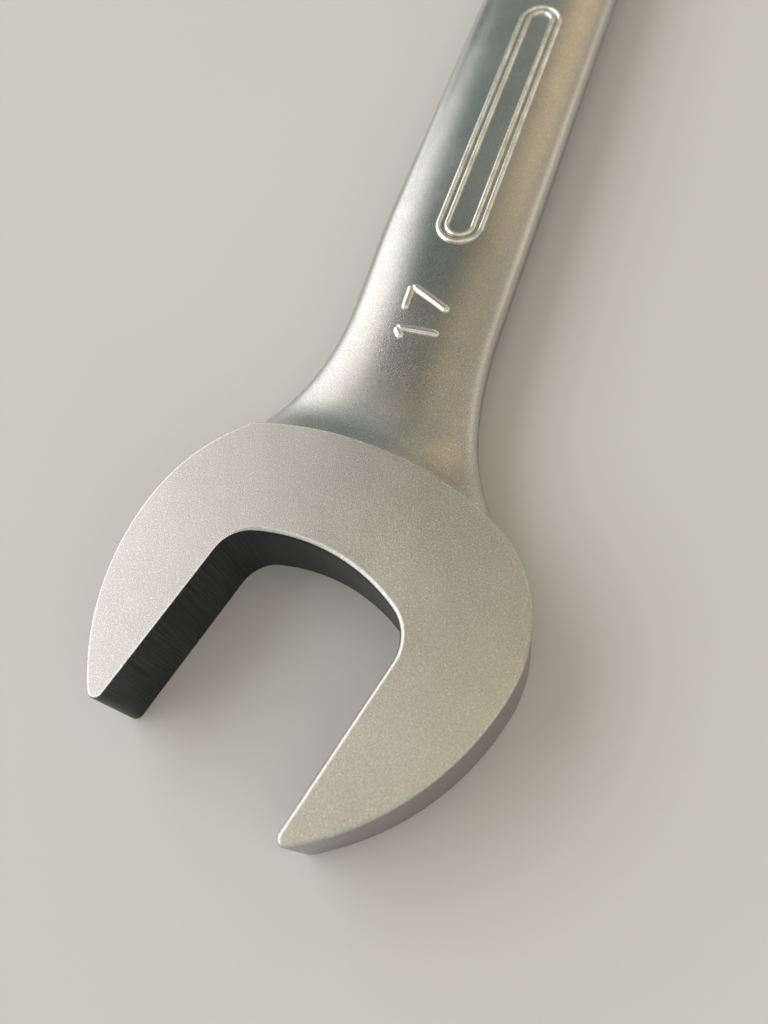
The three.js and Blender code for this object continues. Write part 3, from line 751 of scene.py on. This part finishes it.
def ratchet_gear(materials):
    """The toothed ring and its hub, which is the same above and below."""
    half = (GEAR_HIGH[2] - GEAR_LOW[2]) / 2
    ease, edge = 0.15, 0.12
    rim = [(GEAR["hub"], half - ease), (GEAR["hub"] - ease, half)]
    hub = lathe([*upside_down(rim), *rim], sides=256)
    gear = prism(gear_outline(), GEAR["bottom"], GEAR["top"], edge, edge, steps=2)
    combine(gear, [hub], "UNION")
    low_radius, depth = 9.1, 0.6
    chamfer = [
        (low_radius, half - depth),
        (GEAR["lead_in"], half),
        (GEAR["lead_in"] + 2 * CLEAR, half + CLEAR),
    ]
    cutters = [
        prism(twelve_point_outline(), -half - CLEAR, half + CLEAR),
        lathe(chamfer, sides=256),
        lathe(upside_down(chamfer), sides=256),
    ]
    combine(gear, cutters, "DIFFERENCE")
    return place(gear, "gear", "ratchet_gear", "gear", materials)


def gear_retaining_ring(materials):
    """The split snap ring in the groove above the gear."""
    clearance, edge = 0.25, 0.12
    inner, outer = GEAR["hub"] + clearance, RING["groove"] - FIT
    mouth, facing = radians(16), radians(60)
    start, end = facing + mouth / 2, facing + 2 * pi - mouth / 2
    outline = without_repeats([*arc(0, 0, outer, start, end), *arc(0, 0, inner, end, start)])
    low, high = RING["groove_bottom"] + FIT, RING["groove_top"] - FIT
    made = prism(outline + [RING_X, 0], low, high, edge, edge, steps=3)
    return place(made, "retaining_ring", "gear_retaining_ring", "wrench", materials)


def lever_tab_outline():
    """The tab grows out of the disc, narrows to a neck and widens to a round-cornered end."""
    end = LEVER["end_radius"]
    leaves = radians(140)
    tip_x = -LEVER["tab_length"] + end
    tip_y = LEVER["end_half_width"] - end
    leaving = LEVER["disc"] * np.array([cos(leaves), sin(leaves)])
    neck = np.array([LEVER["neck_x"], LEVER["neck_half_width"]])
    arriving = np.array([tip_x, tip_y + end])
    # A quadratic curve pulls the sides in at the neck.
    pull = 0.15
    waist = 2 * neck - (leaving + arriving) / 2 - [0, pull]
    side = []
    for t in np.linspace(0, 1, 14)[1:-1]:
        side.append(tuple((1 - t) ** 2 * leaving + 2 * t * (1 - t) * waist + t * t * arriving))
    half = [*side, *arc(tip_x, tip_y, end, pi / 2, pi)]
    within = 0.02
    under_disc = arc(0, 0, LEVER["disc"] - within, -leaves, leaves)
    return without_repeats([*under_disc, *half, *mirrored(half)])


def reversing_lever(materials):
    """Stem, disc and thumb tab in one piece, with grip ribs and the plunger's cross bore."""
    low, journal_top = LEVER["journal_bottom"], LEVER["journal_top"]
    journal_edge, ease = 0.2, 0.35
    stem = lathe(
        [
            (LEVER["journal"] - journal_edge, low),
            (LEVER["journal"], low + journal_edge),
            (LEVER["journal"], journal_top),
            (LEVER["stem"], journal_top),
            (LEVER["stem"], LEVER["disc_bottom"]),
            (LEVER["disc"], LEVER["disc_bottom"]),
            (LEVER["disc"], LEVER["tab_top"] - ease),
            (LEVER["disc"] - 0.1, LEVER["tab_top"] - 0.13),  # on its round
            (LEVER["disc"] - ease, LEVER["tab_top"]),
        ],
        LEVER["x"],
    )
    outline = lever_tab_outline() + [LEVER_X, 0]
    low_edge, high_edge = 0.3, 0.45
    tab = prism(outline, LEVER["tab_bottom"], LEVER["tab_top"], low_edge, high_edge, steps=6)
    made = combine(stem, [tab, *grip_ribs()], "UNION")
    combine(made, [plunger_bore()], "DIFFERENCE")
    turned(made, LEVER["rest_turn"], LEVER["x"])
    return place(made, "lever", "reversing_lever", "lever", materials)


def grip_ribs():
    """Raised ribs across the tab, each with round ends."""
    radius, depth, height, edge = 0.45, 0.4, 0.35, 0.3
    end_y = LEVER["neck_half_width"] - 0.5 - radius
    low, high = LEVER["tab_top"] - depth, LEVER["tab_top"] + height
    ribs = []
    for rib_x in (-7.4, -8.8, -10.2, -11.6):
        x = LEVER_X + rib_x
        left_end = arc(x, end_y, radius, 0, pi)
        right_end = arc(x, -end_y, radius, pi, 2 * pi)
        outline = without_repeats([*left_end, *right_end])
        ribs.append(prism(outline, low, high, high_edge=edge, steps=4))
    return ribs


def plunger_bore():
    """The cross bore that holds the plunger and its spring, along the lever's +x."""
    radius, start, end, sides = 1.15, SPRING["start"] - FIT, 5.15, 48
    angles = np.linspace(0, 2 * pi, sides, endpoint=False)
    y, z = radius * np.cos(angles), SPRING["z"] + radius * np.sin(angles)
    rings = [np.column_stack([np.full(sides, LEVER_X + x), y, z]) for x in (start, end)]
    return stacked("bore", rings)


def detent_spring(materials):
    """A coil spring behind the plunger."""
    wire, coil, turns = SPRING["wire"], SPRING["coil"], SPRING["turns"]
    wire_sides, rings_per_turn = 10, 24
    length = SPRING["end"] - SPRING["start"]
    around = np.linspace(0, 2 * pi, wire_sides, endpoint=False)
    pitch = (length - 2 * wire) / (2 * pi * turns)
    rings = []
    for angle in np.linspace(0, 2 * pi * turns, rings_per_turn * turns + 1):
        outward = np.array([0, cos(angle), sin(angle)])
        along = np.array([pitch, -coil * sin(angle), coil * cos(angle)])
        across = np.cross(along / np.linalg.norm(along), outward)
        centre = coil * outward + [SPRING["start"] + wire + pitch * angle, 0, SPRING["z"]]
        ring = np.outer(np.cos(around), outward) + np.outer(np.sin(around), across)
        rings.append(centre + wire * ring + [LEVER_X, 0, 0])
    made = turned(stacked("spring", rings), LEVER["rest_turn"], LEVER["x"])
    place(made, "coil_spring", "detent_spring", "lever", materials)
    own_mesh(made)
    return made


def cover_plate(materials):
    bottom, top = COVER["bottom"], COVER["top"]
    made = prism(cover_outline(0), bottom, top, low_edge=0.25, high_edge=0.05, steps=4)
    low, high = bottom - CLEAR, top + CLEAR
    cutters = [
        cylinder(PIN["radius"] + FIT, low, high, PIN["x"]),
        cylinder(LEVER["journal"] + FIT, low, high, LEVER["x"]),
    ]
    wide = SCREW["head"] + FIT + SCREW["bottom"] - bottom
    profile = [
        (wide + CLEAR, low),
        (wide, bottom),
        (SCREW["shank"] + FIT, SCREW["bottom"] + SCREW["head_depth"]),
        (SCREW["shank"] + FIT, high),
    ]
    for side in (1, -1):
        cutters.append(lathe(profile, COVER["screw_x"], side * COVER["screw_y"]))
    combine(made, cutters, "DIFFERENCE")
    return place(made, "cover", "cover_plate", "wrench", materials)


def cover_screw(name, side, materials):
    """A countersunk screw, seen from below, with a hexagon socket."""
    bottom, top = SCREW["bottom"], SCREW["top"]
    x, y = COVER["screw_x"], side * COVER["screw_y"]
    edge_across, edge_along, point, draft = 0.12, 0.1, 0.3, 0.1
    profile = [
        (SCREW["head"] - edge_across, bottom),
        (SCREW["head"], bottom + edge_along),
        (SCREW["shank"], bottom + SCREW["head_depth"]),
        (SCREW["shank"], top - point),
        (SCREW["shank"] - point, top),
    ]
    mouth = SCREW["socket"] + draft
    socket = lathe([(mouth, bottom - CLEAR), (SCREW["socket"], bottom + CLEAR)], x, y, sides=6)
    made = combine(lathe(profile, x, y, sides=96), [socket], "DIFFERENCE")
    return place(made, name + "_detailed", name, "wrench", materials)


# ---- materials -----------------------------------------------------------------------------------
class Nodes:
    """The nodes of one tree, added one by one."""

    def __init__(self, tree):
        self.tree = tree

    def node(self, kind, inputs=None, **settings):
        made = self.tree.nodes.new("ShaderNode" + kind)
        for key, value in settings.items():
            setattr(made, key, value)
        for key, value in (inputs or {}).items():
            self.feed(made.inputs[key], value)
        return made

    def feed(self, socket, value):
        if isinstance(value, bpy.types.NodeSocket):
            self.tree.links.new(value, socket)
        else:
            socket.default_value = value

    def mix(self, share, a, b):
        """A colour from a at share 0 to b at share 1. A Mix node's colours are sockets 6 and 7."""
        made = self.node("Mix", {0: share, 6: a, 7: b}, data_type="RGBA")
        return made.outputs[2]


class Shader(Nodes):
    """A node material, built from its texture nodes up."""

    def __init__(self, name):
        self.material = bpy.data.materials.new(name)
        self.material.use_nodes = True
        super().__init__(self.material.node_tree)
        self.surface = self.tree.nodes["Principled BSDF"]
        self.place = self.node("TexCoord").outputs["Object"]

    def finish(self, **values):
        """The material, once the inputs of its surface are set."""
        for key, value in values.items():
            self.feed(self.surface.inputs[key.replace("_", " ")], value)
        return self.material

    def noise(self, size, detail=2.0, stretch=None, sharp=0.5):
        """Noise with features of a size in millimetres, longer by the stretch along each axis."""
        scale = [1 / (size * MM * s) for s in (stretch or (1, 1, 1))]
        where = self.node("Mapping", {"Vector": self.place, "Scale": scale}).outputs[0]
        inputs = {"Vector": where, "Scale": 1.0, "Detail": detail, "Roughness": sharp}
        return self.node("TexNoise", inputs).outputs[0]

    def between(self, value, low, high, start=0.0, end=1.0):
        """Value from low to high, spread over start to end."""
        inputs = {"Value": value, "From Min": low, "From Max": high, "To Min": start, "To Max": end}
        return self.node("MapRange", inputs).outputs[0]

    def math(self, operation, a, b):
        return self.node("Math", {0: a, 1: b}, operation=operation).outputs[0]

    def along_x(self):
        return self.node("SeparateXYZ", {0: self.place}).outputs[0]

    def facing_z(self):
        """1 on surfaces that face straight up or down, and 0 on upright walls."""
        normal = self.node("NewGeometry").outputs["Normal"]
        return self.math("ABSOLUTE", self.node("SeparateXYZ", {0: normal}).outputs[2], 0.0)

    def edges(self, radius):
        """1 along edges, within a radius in millimetres, and 0 on open surfaces."""
        bent = self.node("Bevel", {"Radius": radius * MM}, samples=6).outputs[0]
        plain = self.node("NewGeometry").outputs["Normal"]
        agree = self.node("VectorMath", {0: bent, 1: plain}, operation="DOT_PRODUCT")
        return self.between(agree.outputs["Value"], 0.995, 0.9)

    def bump(self, height, depth, below=None):
        """Relief whose full height is a depth in millimetres."""
        inputs = {"Height": height, "Distance": depth * MM, "Strength": 1.0}
        if below is not None:
            inputs["Normal"] = below
        return self.node("Bump", inputs).outputs[0]


def grey(level, warmth=0.0):
    """A grey with a little more red and less blue when warmth is above 0."""
    return (level * (1 + warmth), level, level * (1 - warmth), 1.0)


def satin_chrome(name, grain=1.0):
    """Bead-blasted chrome: a fine grain, strongest on the open head, and smoother, polished edges.

    Painted light: bright glints, a highlight along the edges and shade on upright walls.
    """
    s = Shader(name)
    head_x, shank_x = (ORIGIN[0] + 8) * MM, (ORIGIN[0] + 30) * MM
    shank_grain = 0.45 * grain
    at_head = s.between(s.along_x(), shank_x, head_x, shank_grain, grain)
    speckle = s.noise(0.1, 1.0)
    fine = s.noise(0.05, 1.0)
    cloud = s.noise(9.0, 3.0)
    spots = s.mix(s.between(speckle, 0.38, 0.62), grey(0.35, 0.03), grey(0.68, 0.03))
    base = s.mix(s.between(cloud, 0.35, 0.65), grey(0.45, 0.02), grey(0.51, 0.03))
    stain = s.between(s.noise(2.5, 2.0), 0.45, 0.75, 0.0, 0.5)
    base = s.mix(stain, base, grey(0.56, 0.05))
    open_surface = s.mix(s.math("MULTIPLY", at_head, 0.55), base, spots)
    # Painted highlight: small bright glints painted into the colour of the open head's surface.
    painted_glints = s.math("MULTIPLY", s.between(s.noise(0.14, 0.0), 0.68, 0.78), at_head)
    open_surface = s.mix(s.math("MULTIPLY", painted_glints, 0.6), open_surface, grey(0.85, 0.02))
    # Painted shade: upright walls are darkened, standing in for the dark surroundings they would
    # reflect.
    painted_wall_shade = s.between(s.facing_z(), 0.35, 0.1, 0.0, 0.45)
    open_surface = s.mix(painted_wall_shade, open_surface, grey(0.08, 0.02))
    # Painted highlight: a pale band painted along the eased edges, which are also made smoother.
    edge = s.edges(0.35)
    colour = s.mix(edge, open_surface, grey(0.82, 0.01))
    smoothness = s.between(at_head, shank_grain, grain, 0.1, 0.0)
    rough = s.math("SUBTRACT", s.between(cloud, 0.3, 0.7, 0.28, 0.34), smoothness)
    rough = s.math("SUBTRACT", rough, s.math("MULTIPLY", edge, 0.1))
    relief = s.bump(s.math("MULTIPLY", speckle, at_head), 0.016)
    relief = s.bump(s.math("MULTIPLY", fine, at_head), 0.005, relief)
    return s.finish(Base_Color=colour, Metallic=1.0, Roughness=rough, Normal=relief)


def ground_steel(name, dark, light, line_size=0.1):
    """Walls ground or broached straight down: fine lines along z."""
    s = Shader(name)
    lines = s.noise(line_size, 3.0, (1, 1, 60), 0.6)
    patches = s.noise(2.4, 2.0, (1, 1, 3))
    colour = s.mix(s.between(lines, 0.3, 0.7), dark, light)
    colour = s.mix(s.between(patches, 0.35, 0.75, 0.0, 0.5), colour, dark)
    return s.finish(
        Base_Color=colour,
        Metallic=1.0,
        Roughness=s.between(lines, 0.3, 0.7, 0.32, 0.48),
        Normal=s.bump(lines, 0.012),
    )


def turned_steel(name):
    """Gear steel with turned rings about the gear's axis on its flat faces, and broached walls."""
    s = Shader(name)
    centre = Vector(RING_CENTRE * MM)
    arm = s.node("VectorMath", {0: s.place, 1: centre}, operation="SUBTRACT").outputs[0]
    flat = s.node("VectorMath", {0: arm, 1: (1, 1, 0)}, operation="MULTIPLY").outputs[0]
    radius = s.node("VectorMath", {0: flat}, operation="LENGTH").outputs["Value"]
    ring_size = 0.09 * MM
    turns = {"W": s.math("MULTIPLY", radius, 1 / ring_size), "Scale": 1.0, "Detail": 2.0}
    rings = s.node("TexNoise", turns, noise_dimensions="1D").outputs[0]
    lines = s.noise(0.12, 2.0, (1, 1, 50))
    level = s.between(s.facing_z(), 0.5, 0.8)
    marks = s.node("Mix", {0: level, 2: lines, 3: rings}, data_type="FLOAT").outputs[0]
    smudge = s.noise(3.0, 3.0)
    edge = s.edges(0.25)
    colour = s.mix(s.between(marks, 0.3, 0.7), grey(0.34), grey(0.5, 0.01))
    colour = s.mix(s.between(smudge, 0.5, 0.75, 0.0, 0.4), colour, grey(0.26, 0.02))
    colour = s.mix(edge, colour, grey(0.75))
    rough = s.between(marks, 0.3, 0.7, 0.24, 0.36)
    relief = s.bump(marks, 0.006)
    return s.finish(Base_Color=colour, Metallic=1.0, Roughness=rough, Normal=relief)


def plain_steel(name, colour, roughness, mottle=1.5):
    """Small hardened, plated or blackened pieces: a faint mottle and brighter, worn edges."""
    s = Shader(name)
    grain = s.noise(0.12, 2.0)
    patches = s.noise(mottle, 3.0)
    darker = tuple(c * 0.7 for c in colour[:3]) + (1.0,)
    worn = tuple(min(1.0, c * 1.6 + 0.08) for c in colour[:3]) + (1.0,)
    base = s.mix(s.between(patches, 0.35, 0.7), colour, darker)
    return s.finish(
        Base_Color=s.mix(s.edges(0.15), base, worn),
        Metallic=1.0,
        Roughness=s.between(patches, 0.3, 0.7, roughness - 0.05, roughness + 0.08),
        Normal=s.bump(grain, 0.003),
    )


def seal_rubber(name):
    """Black rubber with a little dust."""
    s = Shader(name)
    dust = s.noise(0.4, 3.0)
    return s.finish(
        Base_Color=s.mix(s.between(dust, 0.4, 0.75), grey(0.012), grey(0.04)),
        Roughness=s.between(dust, 0.3, 0.7, 0.55, 0.8),
        Normal=s.bump(s.noise(0.15, 2.0), 0.008),
    )


def floor_material():
    """A plain pale floor with barely visible clouds."""
    s = Shader("studio_floor")
    tone = s.between(s.noise(60.0, 3.0), 0.3, 0.7)
    return s.finish(
        Base_Color=s.mix(tone, grey(0.61), grey(0.63)),
        Roughness=0.75,
        Normal=s.bump(s.noise(0.8, 3.0), 0.02),
    )


# ---- stage ---------------------------------------------------------------------------------------
def add_floor():
    """A plain floor that both heads rest on. It slopes up to the open one, which is thinner."""
    jaw_low = RING_CENTRE[2] - JAW["half_thickness"]
    rest_x = ORIGIN[0] + RING_EDGE_X
    slope = jaw_low / (rest_x - BODY_LOW[0])
    half = 3.0  # metres
    corners = [(-half, -half), (half, -half), (half, half), (-half, half)]
    points = [(x, y, (rest_x * MM - x) * slope) for x, y in corners]
    mesh = bpy.data.meshes.new("floor")
    mesh.from_pydata(points, [], [(0, 1, 2, 3)])
    mesh.materials.append(floor_material())
    new_object("floor", mesh)


def direction(azimuth, elevation):
    """Unit vector towards a place in the surroundings. Azimuth turns from +x to +y, in degrees."""
    a, e = radians(azimuth), radians(elevation)
    return Vector((cos(e) * cos(a), cos(e) * sin(a), sin(e)))


WINDOW = (95, 42)  # azimuth and elevation


def add_lights():
    """A broad soft sun in the window's direction, which gives the tool its soft shadow."""
    lamp = bpy.data.lights.new("window_sun", "SUN")
    lamp.energy = 0.15
    lamp.angle = radians(45)
    lamp.color = (1.0, 0.98, 0.95)
    made = new_object("window_sun", lamp)
    made.rotation_mode = "QUATERNION"
    made.rotation_quaternion = direction(*WINDOW).to_track_quat("Z", "Y")


WARM_ROOM = (0.46, 0.41, 0.30, 1.0)
# Soft patches of the studio's surroundings: azimuth, elevation, radius of the even middle and of
# the faded edge, all in degrees, and colour. Later ones go over earlier ones.
PATCHES = [
    (5, 81, 8, 21, (1.28, 1.14, 0.73)),
    (-110, 30, 14, 40, (1.0, 0.95, 0.86)),
    (185, 40, 8, 30, (0.95, 0.97, 1.0)),
    (-35, 20, 8, 26, (0.64, 0.58, 0.48)),
    (-48, 4, 6, 18, (1.1, 1.0, 0.74)),
    (-14, 30, 7, 19, (0.98, 0.82, 0.55)),
    (-12, 14, 5, 15, (0.20, 0.17, 0.12)),
    (22, 12, 8, 24, (0.30, 0.33, 0.30)),
    (25, 36, 5, 22, (0.28, 0.35, 0.33)),
    (90, 14, 40, 60, (2.0, 2.02, 2.0)),
    (30, 8, 7, 18, (0.10, 0.16, 0.14)),
    (35, 61, 8, 19, (0.08, 0.08, 0.07)),
    (54, 46, 3, 12, (2.1, 2.0, 1.8)),
]
BACKDROP = (0.62, 0.60, 0.54, 1.0)


def add_world():
    """Soft studio surroundings for light and reflections, behind a plain pale backdrop."""
    world = bpy.data.worlds.new("studio")
    world.use_nodes = True
    w = Nodes(world.node_tree)
    towards = w.node("TexCoord").outputs["Generated"]
    colour = WARM_ROOM
    for azimuth, elevation, even, faded, patch in PATCHES:
        centre = direction(azimuth, elevation)
        facing = w.node("VectorMath", {0: towards, 1: centre}, operation="DOT_PRODUCT")
        limits = {
            "Value": facing.outputs["Value"],
            "From Min": cos(radians(faded)),
            "From Max": cos(radians(even)),
        }
        share = w.node("MapRange", limits, interpolation_type="SMOOTHSTEP").outputs[0]
        colour = w.mix(share, colour, (*patch, 1.0))
    seen = w.mix(w.node("LightPath").outputs["Is Camera Ray"], colour, BACKDROP)
    w.feed(w.tree.nodes["Background"].inputs[0], seen)
    bpy.context.scene.world = world


def add_camera():
    """Close above the open jaw, looking down along the shank, and rolled a little."""
    azimuth, elevation, roll = 215.74, 63.47, radians(18.26)
    distance = 69.32
    jaw_point, height = (6.2, 0.034), 0.205
    target = Vector((np.append(from_jaw([jaw_point])[0], height) + ORIGIN) * MM)
    back = direction(azimuth, elevation)
    right = UP.cross(back).normalized()
    up = back.cross(right)
    right, up = (
        right * cos(roll) - up * sin(roll),
        up * cos(roll) + right * sin(roll),
    )
    data = bpy.data.cameras.new("camera")
    data.lens = 29.245
    data.sensor_width = 36
    data.clip_start = 0.002
    data.clip_end = 20
    camera = new_object("camera", data)
    stand = Matrix.Translation(target + back * distance * MM)
    camera.matrix_world = stand @ Matrix((right, up, back)).transposed().to_4x4()
    focus = new_object("focus", None)
    focus.location = target
    data.dof.use_dof = True
    data.dof.focus_object = focus
    data.dof.aperture_fstop = 36
    bpy.context.scene.camera = camera


# ---- build ---------------------------------------------------------------------------------------
chrome = satin_chrome("bead_blasted_chrome")
chrome_small = satin_chrome("satin_chrome_small", 0.6)
# Painted shade: the ground jaw walls, with real grinding lines, get a near-black colour that stands
# in for the dark surroundings they reflect.
jaw_wall_painted_dark = ground_steel("ground_jaw_wall_painted_dark", grey(0.025, -0.12), grey(0.12, -0.12))
gear_steel = turned_steel("turned_gear_steel")
spring_steel = plain_steel("blued_spring_steel", (0.16, 0.165, 0.18, 1.0), 0.35)
plated_steel = plain_steel("plated_steel", (0.5, 0.5, 0.48, 1.0), 0.28)
worn_chrome = plain_steel("worn_raised_chrome", (0.92, 0.91, 0.86, 1.0), 0.24)
black_oxide = plain_steel("black_oxide_steel", (0.035, 0.036, 0.04, 1.0), 0.45)
rubber = seal_rubber("seal_rubber")

wrench_body([chrome, jaw_wall_painted_dark])
size_numerals([worn_chrome])
ratchet_gear([gear_steel])
gear_retaining_ring([spring_steel])
reversing_lever([chrome_small])
detent_spring([spring_steel])
cover_plate([chrome_small])
cover_screw("cover_screw_left", 1, [black_oxide])
cover_screw("cover_screw_right", -1, [black_oxide])

KEPT = {  # CAD nodes that only get a material, and the width of their eased edges
    "pawl": (gear_steel, 0.12),
    "pawl_pivot_pin": (plated_steel, 0.15),
    "lever_seal": (rubber, 0),
    "lever_retaining_clip": (spring_steel, 0.05),
    "detent_plunger": (plated_steel, 0.05),
}
for name, (material, edge) in KEPT.items():
    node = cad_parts[name]
    node.data.materials.clear()
    node.data.materials.append(material)
    if edge:
        bevel = node.modifiers.new("eased_edges", "BEVEL")
        bevel.width = edge * MM
        bevel.segments = 2
        bevel.limit_method = "ANGLE"
        bevel.angle_limit = radians(40)
        bevel.harden_normals = True

bpy.context.scene.view_settings.view_transform = "Standard"
add_floor()
add_world()
add_lights()
add_camera()
